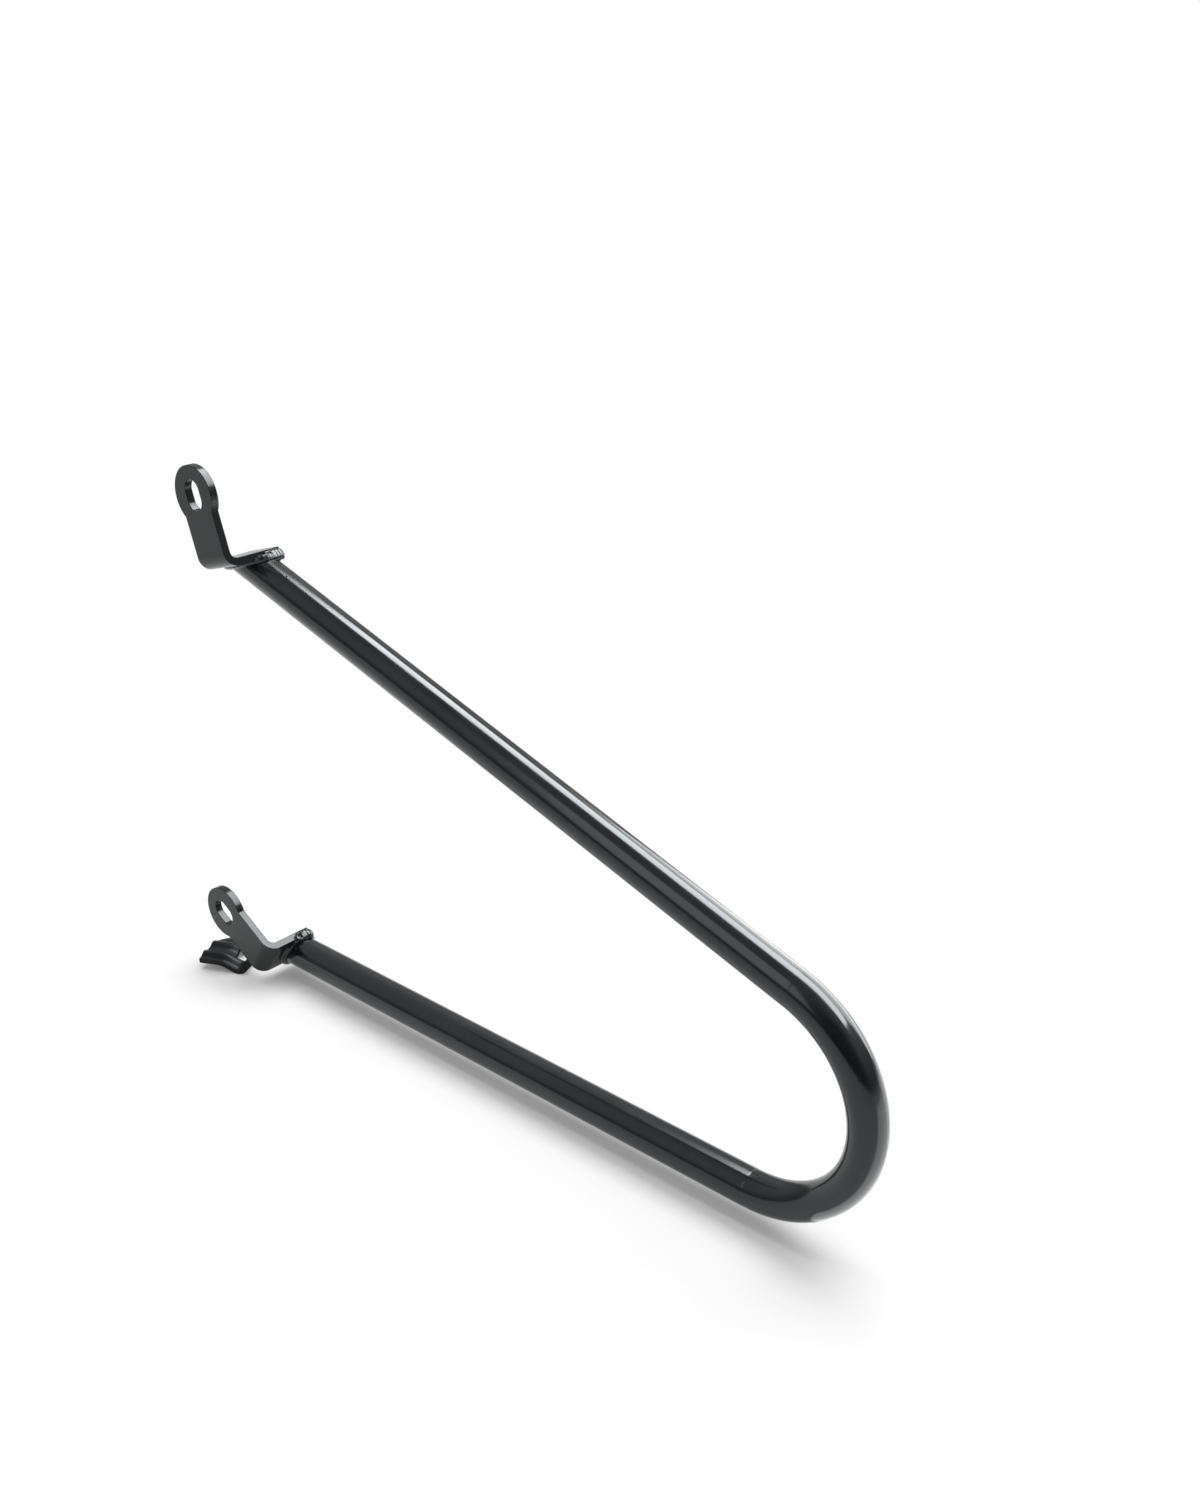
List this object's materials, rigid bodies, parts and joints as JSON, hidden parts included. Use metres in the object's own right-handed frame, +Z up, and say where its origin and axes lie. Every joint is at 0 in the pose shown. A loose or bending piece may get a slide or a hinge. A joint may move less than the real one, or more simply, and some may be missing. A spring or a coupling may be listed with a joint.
{
  "type": "pannier frame",
  "caption": "Hairpin of round tube with a bent, slotted tab on each end and a ribbed saddle on the lower one; it holds a soft pannier off a motorcycle's side.",
  "frame": {"origin": "on the middle plane of the tube, level with the start of its bend, on the plane through the saddle's lowest line", "axes": "+X along the lower arm towards the bend, +Z up across both arms, -Y towards the side the tabs stand on"},
  "size_m": [0.3892, 0.0413, 0.2597],
  "materials": {
    "black_paint": "gloss"
  },
  "bodies": {
    "root": {"hoop_tube": "black_paint", "upper_tab": "black_paint", "lower_tab": "black_paint", "saddle": "black_paint", "upper_weld": "black_paint", "lower_weld": "black_paint", "saddle_weld": "black_paint"}
  },
  "joints": []
}
